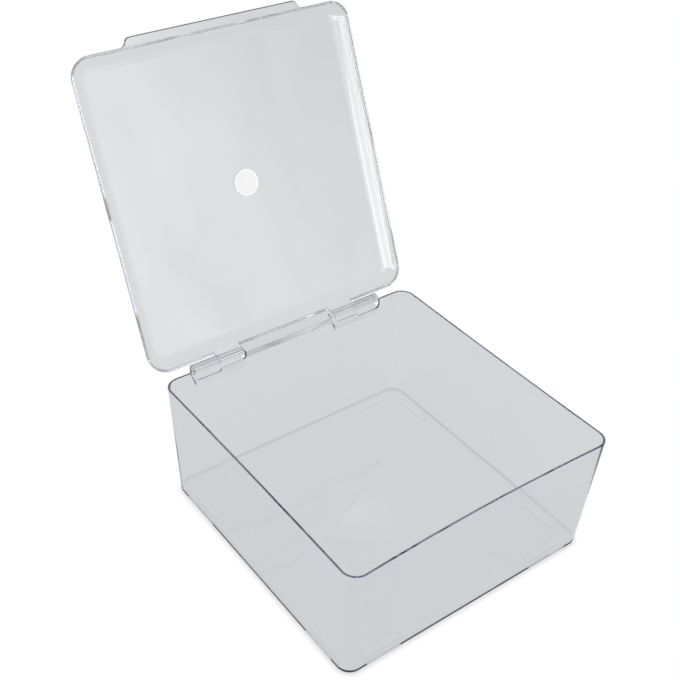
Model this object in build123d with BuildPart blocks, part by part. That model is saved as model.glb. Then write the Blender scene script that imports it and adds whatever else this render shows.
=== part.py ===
from build123d import *
import os
from math import atan2, cos, degrees, radians, sin

# Clear moulded storage box: a square tray and a shallow dished lid that swings on two hinges.
# Millimetres, +Z up, +Y towards the hinged rear. The origin is the middle of the plane that the
# feet stand on. The lid is drawn open, leaning back on the tray's stop rail.

# Tray
tray_width = 203.0          # across the rim, outside, both ways
tray_height = 88.9          # from the feet to the rim
tray_wall = 2.0
tray_floor = 2.4
tray_lean = 4.1             # how far each wall leans in on its way down
rim_corner = 10.0           # outside corner radius in plan at the rim
base_corner = 9.2           # the same at the underside
base_edge = 1.0             # rounding where the walls turn under
front_bow = 2.3             # inward bow of the front rim at its middle
side_bow = 0.6              # the same on the left and right rims

# Feet, two short bars by each corner
foot_height = 0.8
foot_width = 3.0
foot_length = 26.0
foot_inset = 7.4            # from the underside's edge to a bar's middle line
foot_spread = 66.7          # from the box's middle to a bar's middle, along the wall

# Lid
lid_height = 10.1           # lip to top
lid_wall = 2.0              # at the top
lid_lip = 3.2               # width of the lip that lies on the rim
lid_overhang = 2.7          # past the rim at the sides and the front
lid_corner = 14.0           # outside corner radius in plan
lid_edge = 9.6              # outside rounding from the lip to the top
lid_bowl = 7.6              # the same inside
lid_gap = 0.2               # between the closed lid's lip and the rim
open_angle = 114.2          # degrees from closed to resting on the stop

# Finger tab on the lid's front lip
tab_reach = 5.6
tab_front = 120.8           # width of the straight front edge
tab_flank = 7.8             # how far each S-shaped flank runs along the lip
tab_thickness = 2.0

# Hinges, one near each rear corner: an outer knuckle on the tray, an inner one on the lid
axis_setback = 3.3          # from the rim's rear face to the hinge axis
axis_drop = 1.4             # from the rim down to the axis
pin_radius = 1.3
pin_clearance = 0.05        # radial, pin to bore
pin_inset = 0.4             # pin end to the mouth of its bore
barrel_wall = 2.0           # plastic around the bore
barrel_gap = 0.45           # between the tray's knuckle and the lid's rear wall
hinge_inset = 24.5          # from the side of the rim to the outer end of the tray's knuckle
tray_knuckle = 19.6         # length
lid_knuckle = 19.0          # length
knuckle_gap = 0.4           # between neighbouring ends
arm_height = 5.5            # of the lid knuckle's arm, up the lid's rear

# Notches in the rear wall, in front of the knuckles
tray_notch = 8.0            # depth below the rim at the tray's knuckle
tray_notch_corner = 4.0
lid_notch = 5.2             # depth at the lid's knuckle
lid_notch_corner = 2.0
notch_step_corner = 1.2

# Strap that carries the tray's knuckle from the wall below its notch, and the trough that it widens into
strap_thickness = 2.0
strap_drop = 6.0            # from the axis down to the strap's bend
strap_web = 3.0             # height of the strap's root on the wall
strap_seat = 1.6            # from the notch down to the strap's root
trough_drop = 3.0           # from the axis down to the trough's rear edge

# Stop rail between the hinges: a ledge level with the rim and an upright rib behind the axis
rail_reach = 4.4            # from the axis back to the rail's rear face
ledge_thickness = 1.8
ledge_root = 3.6            # extra depth of the ledge where it meets the wall
rib_thickness = 1.2
rail_gap = 0.6              # from the rail's end to the lid's knuckle
stop_gap = 0.1              # between the rib and the open lid's rear

# Round cover over the moulding gate, inside the lid
cover_radius = 9.0
cover_thickness = 0.5
cover_rim = 1.0             # width of its raised edge
cover_rise = 0.3            # of the raised edge and the middle nub
nub_radius = 1.2

overrun = 1.0               # how far cuts run past what they cut

# Derived sizes of the tray
half_rim = tray_width / 2
half_base = half_rim - tray_lean
wall_rise = tray_height - foot_height
floor_level = foot_height + tray_floor
half_floor = half_base + tray_lean * tray_floor / wall_rise - tray_wall


# Derived sizes of the hinges
bore_radius = pin_radius + pin_clearance
barrel_radius = bore_radius + barrel_wall
axis_y = half_rim + axis_setback
axis_z = tray_height - axis_drop
lid_setback = barrel_radius + barrel_gap
lip_level = axis_drop + lid_gap
tray_knuckle_outer = half_rim - hinge_inset
tray_knuckle_inner = tray_knuckle_outer - tray_knuckle
lid_knuckle_outer = tray_knuckle_inner - knuckle_gap
lid_knuckle_inner = lid_knuckle_outer - lid_knuckle
rail_end = lid_knuckle_inner - rail_gap
hinge_sides = (-1, 1)

# Derived sizes of the lid, whose middle lies a little in front of the tray's
lid_half = half_rim + lid_overhang
lid_rear = axis_y - lid_setback
lid_width = 2 * lid_half
lid_depth = lid_half + lid_rear
lid_middle = (lid_rear - lid_half) / 2
lid_front = -lid_depth / 2

# The lid's own plane lies in the hinge axis and turns with it; closed, it would lie level
lid_turn = radians(open_angle)
hinge_plane = Plane(origin=(0, axis_y, axis_z), x_dir=(1, 0, 0), z_dir=(0, sin(lid_turn), cos(lid_turn)))
lid_rise = Axis(hinge_plane.origin, hinge_plane.z_dir)


def wall_outline(level, half_width, front_draw, side_draw, corner):
    """Rounded square at a height, with its front and sides drawn in at the middle.

    The sharp corners stand out by what rounding a bowed side takes off, which keeps the full width.
    """
    side = half_width + 2 * side_draw * corner / half_width
    front = half_width + 2 * front_draw * corner / half_width
    rear_left = (-side, half_width)
    rear_right = (side, half_width)
    front_left = (-side, -front)
    front_right = (side, -front)
    with BuildSketch(Plane.XY.offset(level)) as outline:
        with BuildLine():
            Line(rear_right, rear_left)
            if side_draw or front_draw:
                ThreePointArc(rear_left, (side_draw - half_width, 0), front_left)
                ThreePointArc(front_left, (0, front_draw - half_width), front_right)
                ThreePointArc(front_right, (half_width - side_draw, 0), rear_right)
            else:
                Polyline(rear_left, front_left, front_right, rear_right)
        make_face()
        fillet(outline.vertices(), corner)
    return outline.sketch


def tray_section(x):
    """Plane across the hinge axis in the tray's directions: back is +x, up is +y."""
    return Plane(origin=(x, axis_y, axis_z), x_dir=(0, 1, 0), z_dir=(1, 0, 0))


def lid_section(x):
    """Plane across the hinge axis that turns with the lid."""
    return Plane(origin=hinge_plane.from_local_coords((x, 0, 0)), x_dir=hinge_plane.y_dir, z_dir=hinge_plane.x_dir)


def lid_level(height):
    """Plane through the middle of the lid at a height above its lip."""
    middle = hinge_plane.from_local_coords((0, lid_middle - axis_y, lip_level + height))
    return Plane(origin=middle, x_dir=hinge_plane.x_dir, z_dir=hinge_plane.z_dir)


# Tray: floor and four walls that lean out to the rim
with BuildPart() as tray:
    loft([
        wall_outline(foot_height, half_base, 0, 0, base_corner),
        wall_outline(tray_height, half_rim, front_bow, side_bow, rim_corner),
    ], ruled=True)
    fillet(tray.faces().sort_by(Axis.Z)[0].edges(), base_edge)
    loft([
        wall_outline(floor_level, half_floor, 0, 0, base_corner - tray_wall),
        wall_outline(tray_height, half_rim - tray_wall, front_bow, side_bow, rim_corner - tray_wall),
    ], ruled=True, mode=Mode.SUBTRACT)

    # Feet
    foot_line = half_base - foot_inset
    with BuildSketch():
        with GridLocations(2 * foot_spread, 2 * foot_line, 2, 2):
            SlotOverall(foot_length, foot_width)
        with GridLocations(2 * foot_line, 2 * foot_spread, 2, 2):
            SlotOverall(foot_length, foot_width, rotation=90)
    extrude(amount=foot_height + tray_floor / 2)

    # Stepped notches through the rear wall
    notch_top = tray_height + overrun
    notch_inner = tray_height - lid_notch
    notch_outer = tray_height - tray_notch
    notch_end = lid_knuckle_inner - knuckle_gap
    with BuildSketch(Plane.XZ.offset(-half_rim - overrun)):
        with BuildLine():
            FilletPolyline(
                (notch_end, notch_top),
                (notch_end, notch_inner),
                (tray_knuckle_inner, notch_inner),
                (tray_knuckle_inner, notch_outer),
                (tray_knuckle_outer, notch_outer),
                (tray_knuckle_outer, notch_top),
                radius=[lid_notch_corner, notch_step_corner, notch_step_corner, tray_notch_corner],
            )
            Line((tray_knuckle_outer, notch_top), (notch_end, notch_top))
        make_face()
        mirror(about=Plane.YZ)
    extrude(amount=overrun + tray_wall + tray_lean, mode=Mode.SUBTRACT)

    # Knuckles on their straps, rooted in the middle of the wall, and the trough under both knuckles
    wall_middle = -axis_setback - tray_wall / 2
    strap_back = barrel_radius
    strap_front = strap_back - strap_thickness
    strap_root = tray_notch + strap_seat - axis_drop
    for side in hinge_sides:
        with BuildSketch(tray_section(side * notch_end)):
            with BuildLine():
                Polyline(
                    (strap_front, strap_thickness / 2 - strap_drop),
                    (wall_middle, -strap_root),
                    (wall_middle, -strap_root - strap_web),
                    (strap_back, -strap_drop),
                    (strap_back, -trough_drop),
                    close=True,
                )
            make_face()
        extrude(amount=side * (tray_knuckle_outer - notch_end))
        with BuildSketch(tray_section(side * tray_knuckle_inner)):
            Circle(barrel_radius)
            with BuildLine():
                Polyline(
                    (strap_front, 0),
                    (strap_front, strap_thickness / 2 - strap_drop),
                    (wall_middle, -strap_root),
                    (wall_middle, -strap_root - strap_web),
                    (strap_back, -strap_drop),
                    (strap_back, 0),
                    close=True,
                )
            make_face()
        extrude(amount=side * tray_knuckle)
        with BuildSketch(tray_section(side * tray_knuckle_inner)):
            Circle(bore_radius)
        extrude(amount=side * tray_knuckle, mode=Mode.SUBTRACT)

    # Stop rail: the rib's top lies parallel to the open lid's rear
    stop_reach = lid_setback - stop_gap
    rib_front = rail_reach - rib_thickness
    rib_front_top = (stop_reach + rib_front * cos(lid_turn)) / sin(lid_turn)
    rib_back_top = (stop_reach + rail_reach * cos(lid_turn)) / sin(lid_turn)
    with BuildSketch(tray_section(0)):
        with BuildLine():
            Polyline(
                (wall_middle, axis_drop),
                (rib_front, axis_drop),
                (rib_front, rib_front_top),
                (rail_reach, rib_back_top),
                (rail_reach, axis_drop - ledge_thickness),
                (wall_middle, axis_drop - ledge_thickness - ledge_root),
                close=True,
            )
        make_face()
    extrude(amount=rail_end, both=True)
tray.part.label = "tray"

# The lid's hollow, a bowl that is taken out of the lid
with BuildPart() as lid_hollow:
    with BuildSketch(lid_level(0)):
        RectangleRounded(lid_width - 2 * lid_lip, lid_depth - 2 * lid_lip, lid_corner - lid_lip)
    extrude(amount=lid_height - lid_wall)
    fillet(lid_hollow.faces().sort_by(lid_rise)[-1].edges(), lid_bowl)

# Lid: a shallow dish with a rounded top edge, a finger tab in front and a knuckle at each hinge
with BuildPart() as lid:
    with BuildSketch(lid_level(0)):
        RectangleRounded(lid_width, lid_depth, lid_corner)
    extrude(amount=lid_height)
    fillet(lid.faces().sort_by(lid_rise)[-1].edges(), lid_edge)
    add(lid_hollow.part, mode=Mode.SUBTRACT)

    # Finger tab: each flank is two equal arcs that run smoothly into the straight edges
    flank_turn = 2 * degrees(atan2(tab_reach, tab_flank))
    flank_radius = tab_flank / 2 / sin(radians(flank_turn))
    tab_root = tab_front / 2 + tab_flank
    tab_inside = lid_front + lid_lip / 2
    with BuildSketch(lid_level(0)):
        with BuildLine():
            root_arc = JernArc((tab_root, lid_front), (-1, 0), flank_radius, flank_turn)
            front_arc = JernArc(root_arc @ 1, root_arc % 1, flank_radius, -flank_turn)
            Line(front_arc @ 1, (0, lid_front - tab_reach))
            Polyline((tab_root, lid_front), (tab_root, tab_inside), (0, tab_inside))
            mirror(about=Plane.YZ)
        make_face()
    extrude(amount=tab_thickness)

    # Knuckles, each held by an arm that rises along the lid's rear
    arm_root = -lid_setback - lid_lip / 2
    for side in hinge_sides:
        with BuildSketch(lid_section(side * lid_knuckle_inner)):
            Circle(barrel_radius)
            with BuildLine():
                Polyline((arm_root, lip_level), (0, lip_level), (0, barrel_radius), (arm_root, arm_height), close=True)
            make_face()
        extrude(amount=side * lid_knuckle)
        with BuildSketch(lid_section(side * lid_knuckle_inner)):
            Circle(bore_radius)
        extrude(amount=side * lid_knuckle, mode=Mode.SUBTRACT)
lid.part.label = "lid"

# Gate cover: a thin disc with a raised edge and a nub in its middle, on the lid's inside face
with BuildPart() as gate_cover:
    cover_seat = lid_height - lid_wall
    with BuildSketch(lid_level(cover_seat)):
        Circle(cover_radius)
    extrude(amount=-cover_thickness)
    with BuildSketch(lid_level(cover_seat - cover_thickness)):
        Circle(cover_radius)
        Circle(cover_radius - cover_rim, mode=Mode.SUBTRACT)
        Circle(nub_radius)
    extrude(amount=-cover_rise)
gate_cover.part.label = "gate_cover"


def hinge_pin(side):
    """Plain rod through one hinge, held just inside both mouths of the bore."""
    with BuildPart() as pin:
        with BuildSketch(tray_section(side * (lid_knuckle_inner + pin_inset))):
            Circle(pin_radius)
        extrude(amount=side * (tray_knuckle_outer - lid_knuckle_inner - 2 * pin_inset))
    return pin.part


# Hinge pins
pin_left = hinge_pin(-1)
pin_left.label = "hinge_pin_left"
pin_right = hinge_pin(1)
pin_right.label = "hinge_pin_right"

os.makedirs("parts", exist_ok=True)
export_step(tray.part, "parts/tray.step")
export_step(lid.part, "parts/lid.step")
export_step(gate_cover.part, "parts/gate_cover.step")
export_step(pin_left, "parts/hinge_pin_left.step")
export_step(pin_right, "parts/hinge_pin_right.step")
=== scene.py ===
import math

import bmesh
import bpy
from mathutils import Matrix, Vector


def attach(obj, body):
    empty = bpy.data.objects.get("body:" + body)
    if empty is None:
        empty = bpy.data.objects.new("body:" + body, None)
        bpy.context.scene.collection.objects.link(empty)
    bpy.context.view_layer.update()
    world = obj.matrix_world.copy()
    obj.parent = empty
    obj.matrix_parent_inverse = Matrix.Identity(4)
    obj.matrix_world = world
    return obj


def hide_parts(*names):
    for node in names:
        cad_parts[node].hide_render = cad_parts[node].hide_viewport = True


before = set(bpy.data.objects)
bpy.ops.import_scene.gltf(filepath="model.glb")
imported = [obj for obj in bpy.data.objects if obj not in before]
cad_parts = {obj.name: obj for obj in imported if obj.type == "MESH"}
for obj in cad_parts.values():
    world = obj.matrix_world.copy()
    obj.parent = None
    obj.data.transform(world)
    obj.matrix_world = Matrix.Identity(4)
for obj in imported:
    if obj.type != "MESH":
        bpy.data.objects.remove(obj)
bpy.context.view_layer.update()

MM = 0.001  # the scene is in metres, and sizes below are given in millimetres


# Tray and lid: two injection mouldings of clear acrylic, polished by the mould. Both are copies of the CAD
# solids with almost sharp edges. The lid's knuckles and the tray's are part of them.
EDGE_EASE = 0.3 * MM          # asked for on the lid, where the overlap limit leaves about 0.003 mm of it
RIM_EASE = 0.5 * MM           # asked for on the tray, where it leaves about 0.002 mm
TRAY_RIM = 88.9 * MM
TRAY_RIM_THINNED = 0.6 * MM
TRAY_INSIDE = 99.8 * MM       # the walls' inner faces lie nearer the middle than this
TRAY_REAR_INSIDE = 94 * MM    # behind this lies the rear wall, whose inside moves straight back
TRAY_FLOOR = 3.2 * MM         # the floor's upper face
FLOOR_THINNED = 0.9 * MM
UNDERSIDE = 0.8 * MM
FOOT_ROOT_ROUND = 1.3 * MM    # the overlap limit leaves about 0.007 mm of it
WALL_FACING = 0.3             # least length of a wall's normal seen from above
ACRYLIC_IOR = 1.49
ACRYLIC_DEPTH = "#BDC3D2"
TRAY_DENSITY = 26.0
LID_DENSITY = 1.5
TRAY_SURFACE = "#FDFEFF"
LID_SURFACE = "#FFFFFF"
FLOW_TINT = "#FBFBFA"
FLOW_SIZE = 70 * MM
FLOW_DEPTH = 0.15 * MM
FLOW_DETAIL = 1.0
FLOW_DISTORTION = 1.2
SHARP_ANGLE = math.radians(28)
FLAT_ANGLE = math.radians(0.1)
SEAM = 0.002 * MM
FLAT_AREA = 600 * MM * MM     # larger faces are flat panels, and are shaded flat
LARGE_FACE_WEIGHT = 100       # large faces rule the shading of the narrow ones beside them


def linear(hex_colour):
    """An sRGB hex colour as linear red, green and blue, with alpha 1."""
    channels = [int(hex_colour[i:i + 2], 16) / 255 for i in (1, 3, 5)]
    return [c / 12.92 if c <= 0.04045 else ((c + 0.055) / 1.055) ** 2.4 for c in channels] + [1.0]


def add_node(tree, kind, settings=(), values=(), links=()):
    """Adds a node, sets its properties and socket values, and links its inputs."""
    node = tree.nodes.new(kind)
    for name, value in dict(settings).items():
        setattr(node, name, value)
    for name, value in dict(values).items():
        node.inputs[name].default_value = value
    for name, source in dict(links).items():
        tree.links.new(source, node.inputs[name])
    return node


def new_material(name):
    """An empty node material and its tree."""
    material = bpy.data.materials.new(name)
    material.use_nodes = True
    material.node_tree.nodes.clear()
    return material, material.node_tree


def clear_acrylic(name, surface, density):
    """Clear acrylic (PMMA), injection moulded and mirror smooth, with shallow waves where the melt flowed.
    It has a faint blue-grey depth that only shows where the light runs inside the sheet, at the rims."""
    material, tree = new_material(name)
    shader = add_node(tree, "ShaderNodeBsdfPrincipled", values={
        "Roughness": 0.0,
        "IOR": ACRYLIC_IOR,
        "Transmission Weight": 1.0,
    })
    place = add_node(tree, "ShaderNodeTexCoord")
    flow = add_node(tree, "ShaderNodeTexNoise", links={"Vector": place.outputs["Object"]},
                    values={"Scale": 1 / FLOW_SIZE, "Detail": FLOW_DETAIL, "Distortion": FLOW_DISTORTION})
    waves = add_node(tree, "ShaderNodeBump", values={"Strength": 1.0, "Distance": FLOW_DEPTH},
                     links={"Height": flow.outputs[0]})
    tint = add_node(tree, "ShaderNodeMix", settings={"data_type": "RGBA"},
                    values={6: linear(surface), 7: linear(FLOW_TINT)}, links={0: flow.outputs[0]})
    tree.links.new(waves.outputs[0], shader.inputs["Normal"])
    tree.links.new(tint.outputs[2], shader.inputs["Base Color"])
    depth = add_node(tree, "ShaderNodeVolumeAbsorption",
                     values={"Color": linear(ACRYLIC_DEPTH), "Density": density})
    add_node(tree, "ShaderNodeOutputMaterial",
             links={"Surface": shader.outputs[0], "Volume": depth.outputs[0]})
    return material


def shape_tray(mesh):
    """Lowers the floor's upper face, and moves the inside of the walls out towards the rim: a moulded wall
    grows thinner on its way up. Eases the foot bars' roots on the underside by a trace."""
    roots = [edge for edge in mesh.edges if edge.calc_face_angle(0) > SHARP_ANGLE
             and all(abs(vert.co.z - UNDERSIDE) < SEAM for vert in edge.verts)]
    bmesh.ops.bevel(mesh, geom=roots, offset=FOOT_ROOT_ROUND, offset_type="OFFSET", affect="EDGES",
                    segments=4, profile=0.5, material=-1, clamp_overlap=True)
    mesh.normal_update()
    moves = []
    for vert in mesh.verts:
        above_floor = vert.co.z - TRAY_FLOOR
        if abs(above_floor) < SEAM:
            moves.append((vert, Vector((0, 0, -FLOOR_THINNED))))
        inwards = Vector((vert.normal.x, vert.normal.y, 0))
        within = abs(vert.co.x) < TRAY_INSIDE and abs(vert.co.y) < TRAY_INSIDE
        on_wall = vert.co.xy.dot(inwards.xy) < 0 and inwards.length > WALL_FACING
        if within and on_wall and above_floor > SEAM:
            out = Vector((0, 1, 0)) if vert.co.y > TRAY_REAR_INSIDE else -inwards.normalized()
            moves.append((vert, out * TRAY_RIM_THINNED * above_floor / (TRAY_RIM - TRAY_FLOOR)))
    for vert, move in moves:
        vert.co += move


def eased_copy(node_name, name, ease, shape=None):
    """A moulding's solid as one closed mesh. Its sharp edges are eased as far as the overlap limit allows."""
    mesh = bmesh.new()
    mesh.from_mesh(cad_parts[node_name].data)
    bmesh.ops.remove_doubles(mesh, verts=mesh.verts, dist=SEAM)
    bmesh.ops.dissolve_limit(mesh, angle_limit=FLAT_ANGLE, verts=mesh.verts, edges=mesh.edges)
    if shape:
        shape(mesh)
    sharp = [edge for edge in mesh.edges if edge.calc_face_angle(0) > SHARP_ANGLE]
    bmesh.ops.bevel(mesh, geom=sharp, offset=ease, offset_type="OFFSET", affect="EDGES", segments=2,
                    profile=0.5, material=-1, clamp_overlap=True)
    bmesh.ops.remove_doubles(mesh, verts=mesh.verts, dist=SEAM)
    for face in mesh.faces:
        face.smooth = face.calc_area() < FLAT_AREA
    data = bpy.data.meshes.new(name)
    mesh.to_mesh(data)
    mesh.free()
    piece = bpy.data.objects.new(name, data)
    bpy.context.scene.collection.objects.link(piece)
    weighted = piece.modifiers.new("weighted_normals", "WEIGHTED_NORMAL")
    weighted.weight = LARGE_FACE_WEIGHT
    weighted.keep_sharp = True
    return piece


acrylic = clear_acrylic("pmma_clear_moulded", TRAY_SURFACE, TRAY_DENSITY)
lid_acrylic = clear_acrylic("pmma_clear_moulded_thin", LID_SURFACE, LID_DENSITY)
lid_edge_shade = clear_acrylic("pmma_clear_painted_edge_shade", LID_SURFACE, LID_DENSITY)

# Painted shade on the lid's edge: its colour is darkened, darkest along the front and the rear of the lid,
# and faint along its sides
EDGE_SHADE_DARK = "#62626C"
EDGE_SHADE_FAINT = "#C4C4CC"
EDGE_SHADE_FADES_FROM = 90 * MM
EDGE_SHADE_FADES_TO = 103 * MM
tree = lid_edge_shade.node_tree
place = add_node(tree, "ShaderNodeTexCoord")
sideways = add_node(tree, "ShaderNodeSeparateXYZ", links={0: place.outputs["Object"]})
off_middle = add_node(tree, "ShaderNodeMath", settings={"operation": "ABSOLUTE"},
                      links={0: sideways.outputs["X"]})
faint = add_node(tree, "ShaderNodeMapRange", links={"Value": off_middle.outputs[0]},
                 values={"From Min": EDGE_SHADE_FADES_FROM, "From Max": EDGE_SHADE_FADES_TO})
edge_shade_colour = add_node(tree, "ShaderNodeMix", settings={"data_type": "RGBA"}, links={0: faint.outputs[0]},
                       values={6: linear(EDGE_SHADE_DARK), 7: linear(EDGE_SHADE_FAINT)})
tree.links.new(edge_shade_colour.outputs[2], tree.nodes["Principled BSDF"].inputs["Base Color"])

for node_name, ease, shape, materials in (("tray", RIM_EASE, shape_tray, [acrylic]),
                                          ("lid", EDGE_EASE, None, [lid_acrylic, lid_edge_shade])):
    moulding = eased_copy(node_name, node_name + "_moulding", ease, shape)
    for material in materials:
        moulding.data.materials.append(material)
    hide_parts(node_name)
    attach(moulding, node_name)

# Painted shade along the outer edge of the lid's lip and tab: a fine line, darker than the polished faces.
# The lip's flat face is inset for it, and the painted line takes the border and the edge outside it.
# The moulding that the loop above made last is the lid, and it stands open at rest.
HINGE = Vector((0, 104.8, 87.5)) * MM
OPEN_ANGLE = math.radians(114.2)
LIP_LEVEL = 1.6 * MM
LIP_SHADE_LINE = 0.2 * MM
LIP_HALF_WIDTH = 104.2 * MM
LIP_FRONT = -104.2 * MM
LIP_REAR = 101.0 * MM
LIP_CORNER = 14 * MM
TAB_THICKNESS = 2 * MM
TAB_REACH = 5.6 * MM
TAB_SHADE_LINE = 0.5 * MM           # wider by this at the tab's front
LIP_WIDTH = 3.2 * MM
LIP_THINNED = 2.1 * MM
HOLLOW_DEPTH = 8.1 * MM
HOLLOW_SLOPE = 0.5            # how much wider the wall is at the hollow's full depth, as a share of the lip
ALONG_LID = 0.99              # least part of a normal that points along the lid's own upright
NOT_ON_TOP = 0.9              # the same for the tab's upper face, which has no line
lid_up = Vector((0, math.sin(OPEN_ANGLE), math.cos(OPEN_ANGLE)))
lid_back = Vector((0, math.cos(OPEN_ANGLE), -math.sin(OPEN_ANGLE)))


def lip_height(point):
    """How far a point lies above the lip's flat face, towards the lid's top."""
    return (point - HINGE).dot(lid_up) - LIP_LEVEL


def past_straights(point):
    """How far a point lies past the lip's straight sides, where its corners start: across and lengthways.
    The third value is how far it lies behind the lip's middle."""
    behind = HINGE.y + (point - HINGE).dot(lid_back) - (LIP_FRONT + LIP_REAR) / 2
    return (abs(point.x) - LIP_HALF_WIDTH + LIP_CORNER,
            abs(behind) - (LIP_REAR - LIP_FRONT) / 2 + LIP_CORNER, behind)


def lip_inset(point):
    """How far a point lies inside the lip's outline, a rounded rectangle."""
    across, lengthways, _ = past_straights(point)
    if across > 0 and lengthways > 0:
        return LIP_CORNER - math.hypot(across, lengthways)
    return LIP_CORNER - max(across, lengthways)


def lip_outward(point):
    """The direction that leads straight out of the lip's outline."""
    across, lengthways, behind = past_straights(point)
    to_side = Vector((math.copysign(1, point.x), 0, 0))
    to_end = math.copysign(1, behind) * lid_back
    if across > 0 and lengthways > 0:
        return (across * to_side + lengthways * to_end).normalized()
    return to_side if across > lengthways else to_end


mesh = bmesh.new()
mesh.from_mesh(moulding.data)

# The inside of the wall runs out towards the lip, so that the wall grows thinner on its way there
for vert in mesh.verts:
    height = lip_height(vert.co)
    wall = LIP_WIDTH * (1 + HOLLOW_SLOPE * height / HOLLOW_DEPTH) - EDGE_EASE * 3 / 2
    if height < HOLLOW_DEPTH and lip_inset(vert.co) > wall:
        vert.co += lip_outward(vert.co) * LIP_THINNED * (1 - max(height, 0) / HOLLOW_DEPTH)

lip_faces = [face for face in mesh.faces if face.normal.dot(lid_up) < -ALONG_LID
             and abs(lip_height(face.calc_center_median())) < EDGE_EASE / 2]
border = set(bmesh.ops.inset_region(mesh, faces=lip_faces, thickness=LIP_SHADE_LINE, use_even_offset=True,
                                    use_boundary=True)["faces"])
for vert in {vert for face in lip_faces for vert in face.verts}:
    vert.co += lid_back * TAB_SHADE_LINE * min(max(-lip_inset(vert.co) / TAB_REACH, 0), 1)
# the faces of the painted shade line take the darkened copy of the acrylic
edge_shade_slot = moulding.data.materials.find(lid_edge_shade.name)
for face in mesh.faces:
    middle = face.calc_center_median()
    upwards = face.normal.dot(lid_up)
    ahead_of_knuckles = (middle - HINGE).dot(lid_back) < LIP_REAR - HINGE.y
    outside = lip_inset(middle) < LIP_SHADE_LINE + EDGE_EASE and ahead_of_knuckles
    on_edge = upwards < NOT_ON_TOP and EDGE_EASE / -2 < lip_height(middle) < TAB_THICKNESS
    if outside and on_edge and (face in border or upwards > -ALONG_LID):
        face.material_index = edge_shade_slot
mesh.to_mesh(moulding.data)
mesh.free()


# Hinge pins: two rods of the lid's clear acrylic, as smooth as the knuckles around them. They are pushed in
# from the knuckles' outer ends.
for node_name in ("hinge_pin_left", "hinge_pin_right"):
    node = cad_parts[node_name]
    node.data.materials.clear()
    node.data.materials.append(lid_acrylic)


# Gate cover: a thin disc of milky white polystyrene, moulded with a raised edge and a nub in the middle. It
# sits on the lid's inside face, and hides the mark where the lid's plastic was injected.
COVER_RADIUS = 9.0 * MM
COVER_WHITE_AND_HIGHLIGHTS = ((0.0, "#F0F0ED"), (0.15, "#E9E9E6"), (0.55, "#E8E8E5"), (0.82, "#E7E7E4"), (0.89, "#EEEEED"),
               (1.0, "#ECECEB"))  # from the middle nub out to the raised edge; the lighter tones at the nub and the edge are painted highlights
COVER_LET_THROUGH = 0.35      # share of the light that goes through the disc
COVER_IOR = 1.49              # lower than the 1.59 that is usual for polystyrene
SCATTER_SHARE = 0.2
SCATTER_LENGTH = 1.5 * MM
SCATTER_REACH = (1.0, 0.95, 0.9)  # of red, green and blue light, as shares of that length
CLOUD_SIZE = 3 * MM
CLOUD_DETAIL = 2.0
CLOUD_GLOSS = (0.28, 0.42)    # least and greatest roughness


def milky_polystyrene(centre):
    """Translucent white polystyrene, moulded: light goes in, scatters and comes back soft. Its white has
    painted
    highlights: lighter on the middle nub and on the raised edge."""
    material, tree = new_material("polystyrene_milky_moulded")
    place = add_node(tree, "ShaderNodeTexCoord")
    off_centre = add_node(tree, "ShaderNodeVectorMath", settings={"operation": "DISTANCE"},
                          values={1: centre}, links={0: place.outputs["Object"]})
    rings = add_node(tree, "ShaderNodeMapRange", values={"From Max": COVER_RADIUS},
                     links={"Value": off_centre.outputs["Value"]})
    # the disc's white with painted highlights, lighter at the middle nub and at the raised edge
    depth = add_node(tree, "ShaderNodeValToRGB", links={"Fac": rings.outputs[0]})
    for where, colour in COVER_WHITE_AND_HIGHLIGHTS[1:-1]:
        depth.color_ramp.elements.new(where).color = linear(colour)
    depth.color_ramp.elements[0].color = linear(COVER_WHITE_AND_HIGHLIGHTS[0][1])
    depth.color_ramp.elements[-1].color = linear(COVER_WHITE_AND_HIGHLIGHTS[-1][1])
    clouds = add_node(tree, "ShaderNodeTexNoise", values={"Scale": 1 / CLOUD_SIZE, "Detail": CLOUD_DETAIL},
                      links={"Vector": place.outputs["Object"]})
    gloss = add_node(tree, "ShaderNodeMapRange", values={"To Min": CLOUD_GLOSS[0], "To Max": CLOUD_GLOSS[1]},
                     links={"Value": clouds.outputs[0]})
    shader = add_node(tree, "ShaderNodeBsdfPrincipled", values={
        "IOR": COVER_IOR,
        "Subsurface Weight": SCATTER_SHARE,
        "Subsurface Scale": SCATTER_LENGTH,
        "Subsurface Radius": SCATTER_REACH,
    }, links={"Base Color": depth.outputs[0], "Roughness": gloss.outputs[0]})
    through = add_node(tree, "ShaderNodeBsdfTranslucent", links={"Color": depth.outputs[0]})
    milky = add_node(tree, "ShaderNodeMixShader", values={0: COVER_LET_THROUGH},
                     links={1: shader.outputs[0], 2: through.outputs[0]})
    add_node(tree, "ShaderNodeOutputMaterial", links={"Surface": milky.outputs[0]})
    return material


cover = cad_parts["gate_cover"]
cover.data.materials.clear()
cover_centre = sum((Vector(corner) for corner in cover.bound_box), Vector()) / len(cover.bound_box)
cover.data.materials.append(milky_polystyrene(cover_centre))


# Stage: a white paper sheet in a room of white cloth. The camera sees both as pure white, apart from the
# shadow close to the box, and the plastic sees them a little darker.
SEEN = 1.0
ROOM = 0.7
PAPER = 0.84
PAPER_BRIGHT = 3.5            # beside the lamps, on the left
PAPER_BRIGHT_FROM = -450 * MM
PAPER_BRIGHT_TO = -900 * MM
PAPER_DIM = 0.785             # far from the lamps, on the right
PAPER_DIM_FROM = 150 * MM
PAPER_DIM_TO = 450 * MM
PAPER_HALF_WIDTH = 4000 * MM
WHITE = "#FFFFFF"
PAPER_WHITE = "#FBFDFF"
ROOM_WHITE = "#FBFCFF"
SHADE_REACH = 60 * MM
SHADE_TONE = 0.96
SHADE_RAYS = 4
CONTACT_RAYS = 8
SHADOW_REACH = 3.5 * MM
SHADOW_TONE = 0.55
FOOT_REACH = 0.7 * MM
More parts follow.
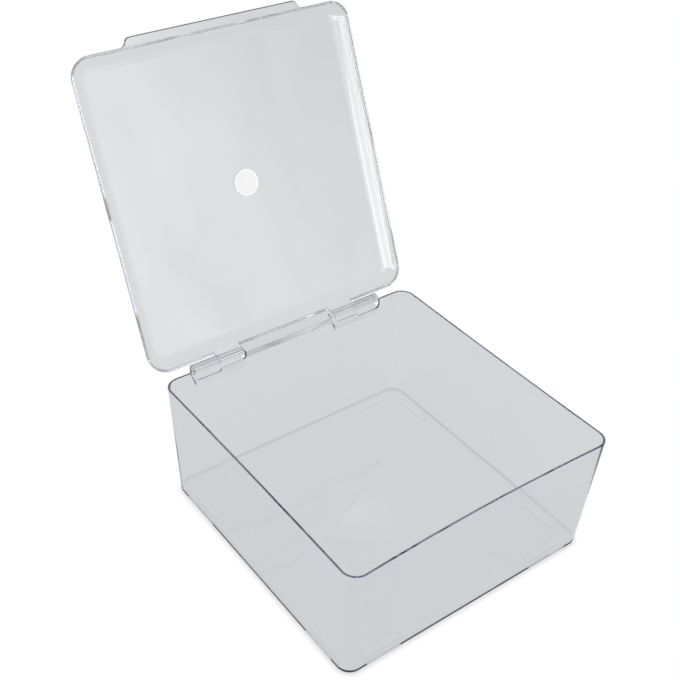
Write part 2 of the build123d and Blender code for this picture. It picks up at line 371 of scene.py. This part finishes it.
# Painted shadow and light on the paper around the feet, as the plastic sees it: how bright it is from under a
# foot or the box, past its edge, to clear of it
FOOT_SHADOW_AND_LIGHT_TONES = ((0.0, 0.88), (0.3, 1.25), (0.6, 0.56), (1.0, 0.86))
# Painted shadow: a dark line on the paper just past the box's bottom edge, as the plastic sees it
EDGE_SHADOW_TONES = ((0.0, 1.0), (0.2, 1.0), (0.5, 0.6), (1.0, 1.0))

floor_mesh = bmesh.new()
bmesh.ops.create_grid(floor_mesh, x_segments=1, y_segments=1, size=PAPER_HALF_WIDTH)
floor_data = bpy.data.meshes.new("stage_floor")
floor_mesh.to_mesh(floor_data)
floor_mesh.free()
stage_floor = bpy.data.objects.new("stage_floor", floor_data)
bpy.context.scene.collection.objects.link(stage_floor)

paper, tree = new_material("paper_white")
path = add_node(tree, "ShaderNodeLightPath")
open_sky = add_node(tree, "ShaderNodeAmbientOcclusion", settings={"samples": CONTACT_RAYS},
                    values={"Distance": SHADOW_REACH})
shadow = add_node(tree, "ShaderNodeMapRange", values={"To Min": SHADOW_TONE, "To Max": SEEN},
                  links={"Value": open_sky.outputs["AO"]})
seen = add_node(tree, "ShaderNodeEmission", values={"Color": linear(WHITE)},
                links={"Strength": shadow.outputs[0]})
place = add_node(tree, "ShaderNodeTexCoord")
sideways = add_node(tree, "ShaderNodeSeparateXYZ", links={0: place.outputs["Object"]})
towards_lamps = add_node(tree, "ShaderNodeMapRange", values={
    "From Min": PAPER_BRIGHT_FROM, "From Max": PAPER_BRIGHT_TO, "To Min": PAPER, "To Max": PAPER_BRIGHT,
}, links={"Value": sideways.outputs["X"]})
at_foot = add_node(tree, "ShaderNodeAmbientOcclusion", settings={"samples": CONTACT_RAYS},
                   values={"Distance": FOOT_REACH})
foot_tone = add_node(tree, "ShaderNodeValToRGB", links={"Fac": at_foot.outputs["AO"]})
edge_tone = add_node(tree, "ShaderNodeValToRGB", links={"Fac": open_sky.outputs["AO"]})
for ramp, tones in ((foot_tone.color_ramp, FOOT_SHADOW_AND_LIGHT_TONES), (edge_tone.color_ramp, EDGE_SHADOW_TONES)):
    for place_on_ramp, tone in tones[1:-1]:
        ramp.elements.new(place_on_ramp).color = (tone, tone, tone, 1)
    ends = zip((ramp.elements[0], ramp.elements[-1]), (tones[0], tones[-1]))
    for element, (place_on_ramp, tone) in ends:
        element.position = place_on_ramp
        element.color = (tone, tone, tone, 1)
around_box = add_node(tree, "ShaderNodeAmbientOcclusion", settings={"samples": SHADE_RAYS},
                      values={"Distance": SHADE_REACH})
shade = add_node(tree, "ShaderNodeMapRange", values={"To Min": SHADE_TONE, "To Max": 1.0},
                 links={"Value": around_box.outputs["AO"]})
falling_off = add_node(tree, "ShaderNodeMapRange", values={
    "From Min": PAPER_DIM_FROM, "From Max": PAPER_DIM_TO, "To Min": PAPER, "To Max": PAPER_DIM,
}, links={"Value": sideways.outputs["X"]})
mirrored = add_node(tree, "ShaderNodeMix", links={
    0: path.outputs["Is Transmission Ray"], "A": towards_lamps.outputs[0], "B": falling_off.outputs[0],
})
shaded_edge = add_node(tree, "ShaderNodeMath", settings={"operation": "MULTIPLY"},
                       links={0: shade.outputs[0], 1: edge_tone.outputs["Color"]})
shaded_foot = add_node(tree, "ShaderNodeMath", settings={"operation": "MULTIPLY"},
                       links={0: shaded_edge.outputs[0], 1: foot_tone.outputs["Color"]})
paper_tone = add_node(tree, "ShaderNodeMath", settings={"operation": "MULTIPLY"},
                      links={0: mirrored.outputs[0], 1: shaded_foot.outputs[0]})
lit = add_node(tree, "ShaderNodeEmission", values={"Color": linear(PAPER_WHITE)},
               links={"Strength": paper_tone.outputs[0]})
mixed = add_node(tree, "ShaderNodeMixShader",
                 links={0: path.outputs["Is Camera Ray"], 1: lit.outputs[0], 2: seen.outputs[0]})
add_node(tree, "ShaderNodeOutputMaterial", links={"Surface": mixed.outputs[0]})
floor_data.materials.append(paper)

# The room's cloth glows in front of the box, around the front lamp. It hangs in upright folds, which show in
# mirror images only.
GLOW = 2.3
GLOW_DIRECTION = (0.0, -0.98, 0.17)
GLOW_EDGE = 0.8
FOLD_UPRIGHT = (1.0, 1.0, 0.35)
FOLD_COUNT = 11.0
FOLD_DETAIL = 2.5
FOLD_ROUGHNESS = 0.5
FOLD_DISTORTION = 0.8
FOLD_NOISE = (0.3, 0.7)
FOLD_TONES = (0.35, 1.65)

world = bpy.data.worlds.new("studio")
world.use_nodes = True
bpy.context.scene.world = world
tree = world.node_tree
tree.nodes.clear()
path = add_node(tree, "ShaderNodeLightPath")
seen = add_node(tree, "ShaderNodeBackground", values={"Color": linear(WHITE), "Strength": SEEN})
view = add_node(tree, "ShaderNodeTexCoord")
near_lamps = add_node(tree, "ShaderNodeVectorMath", settings={"operation": "DOT_PRODUCT"},
                      values={1: GLOW_DIRECTION}, links={0: view.outputs["Generated"]})
glow = add_node(tree, "ShaderNodeMapRange", settings={"interpolation_type": "SMOOTHSTEP"},
                values={"From Min": GLOW_EDGE, "From Max": 1.0, "To Min": ROOM, "To Max": GLOW},
                links={"Value": near_lamps.outputs["Value"]})
hanging = add_node(tree, "ShaderNodeMapping", values={"Scale": FOLD_UPRIGHT},
                   links={"Vector": view.outputs["Generated"]})
folds = add_node(tree, "ShaderNodeTexNoise", values={
    "Scale": FOLD_COUNT, "Detail": FOLD_DETAIL, "Roughness": FOLD_ROUGHNESS, "Distortion": FOLD_DISTORTION,
}, links={"Vector": hanging.outputs[0]})
fold_tone = add_node(tree, "ShaderNodeMapRange", values={
    "From Min": FOLD_NOISE[0], "From Max": FOLD_NOISE[1], "To Min": FOLD_TONES[0], "To Max": FOLD_TONES[1],
}, links={"Value": folds.outputs[0]})
mirrored = add_node(tree, "ShaderNodeMix", values={"B": 1.0},
                    links={0: path.outputs["Is Transmission Ray"], "A": fold_tone.outputs[0]})
cloth = add_node(tree, "ShaderNodeMath", settings={"operation": "MULTIPLY"},
                 links={0: glow.outputs[0], 1: mirrored.outputs[0]})
lit = add_node(tree, "ShaderNodeBackground", values={"Color": linear(ROOM_WHITE)},
               links={"Strength": cloth.outputs[0]})
mixed = add_node(tree, "ShaderNodeMixShader",
                 links={0: path.outputs["Is Camera Ray"], 1: lit.outputs[0], 2: seen.outputs[0]})
add_node(tree, "ShaderNodeOutputWorld", links={"Surface": mixed.outputs[0]})

# Two low softboxes stand in front of the box and to its left. The curved inside of the lid mirrors them as a
# streak. They and the bright paper below them show in mirror images only, so that they don't light up the
# lid's rim.
SOFTBOX_HEIGHT = 820 * MM
SOFTBOX_RADIANCE = 4.2
SOFTBOXES = {
    "softbox_front": ((-720 * MM, -1250 * MM), 1800 * MM),
    "softbox_left": ((-1450 * MM, -200 * MM), 1500 * MM),
}
behind_card = bpy.data.collections.new("behind_card")  # a card keeps the softboxes' light off the tray
behind_card.objects.link(bpy.data.objects["tray_moulding"])
behind_card.collection_objects[0].light_linking.link_state = "EXCLUDE"
for name, (place, width) in SOFTBOXES.items():
    softbox_data = bpy.data.lights.new(name, "AREA")
    softbox_data.shape = "RECTANGLE"
    softbox_data.size, softbox_data.size_y = width, SOFTBOX_HEIGHT
    softbox_data.energy = SOFTBOX_RADIANCE * math.pi * width * SOFTBOX_HEIGHT
    softbox = bpy.data.objects.new(name, softbox_data)
    bpy.context.scene.collection.objects.link(softbox)
    softbox.location = (*place, SOFTBOX_HEIGHT / 2)
    softbox.rotation_euler = Vector((-place[0], -place[1], 0)).to_track_quat("-Z", "Y").to_euler()
    softbox.visible_camera = False
    softbox.visible_transmission = False
    softbox.light_linking.receiver_collection = behind_card

bpy.context.scene.view_settings.view_transform = "Standard"

# Light that is caught in a clear sheet bounces many times before it leaves at a rim
BOUNCES = 200
bpy.context.scene.cycles.max_bounces = BOUNCES
bpy.context.scene.cycles.transmission_bounces = BOUNCES
bpy.context.scene.cycles.glossy_bounces = BOUNCES


# Camera: stands in front of the box, to its left and above it, as the photograph was taken. It is turned by
# a little about its own line of sight, and the lens's middle lies a little off the picture's.
AZIMUTH = math.radians(-37.599)
ELEVATION = math.radians(36.346)
ROLL = math.radians(2.455)
AIM_RIGHT = -33.345 * MM
AIM_UP = 120.077 * MM
DISTANCE = 762.785 * MM
FOCAL_PIXELS = 1121.593
FRAME_PIXELS = 680
CENTRE_PIXEL = (324.982, 335.144)

forward = Vector((-math.sin(AZIMUTH) * math.cos(ELEVATION), math.cos(AZIMUTH) * math.cos(ELEVATION),
                  -math.sin(ELEVATION)))
level_right = Vector((math.cos(AZIMUTH), math.sin(AZIMUTH), 0))
level_up = level_right.cross(forward)
right = math.cos(ROLL) * level_right + math.sin(ROLL) * level_up
up = math.cos(ROLL) * level_up - math.sin(ROLL) * level_right
camera_data = bpy.data.cameras.new("camera")
camera_data.lens = FOCAL_PIXELS / FRAME_PIXELS * camera_data.sensor_width
camera_data.shift_x = 0.5 - CENTRE_PIXEL[0] / FRAME_PIXELS
camera_data.shift_y = CENTRE_PIXEL[1] / FRAME_PIXELS - 0.5
camera = bpy.data.objects.new("camera", camera_data)
bpy.context.scene.collection.objects.link(camera)
bpy.context.scene.camera = camera
place = right * AIM_RIGHT + up * AIM_UP - forward * DISTANCE
camera.matrix_world = Matrix.Translation(place) @ Matrix((right, up, -forward)).transposed().to_4x4()
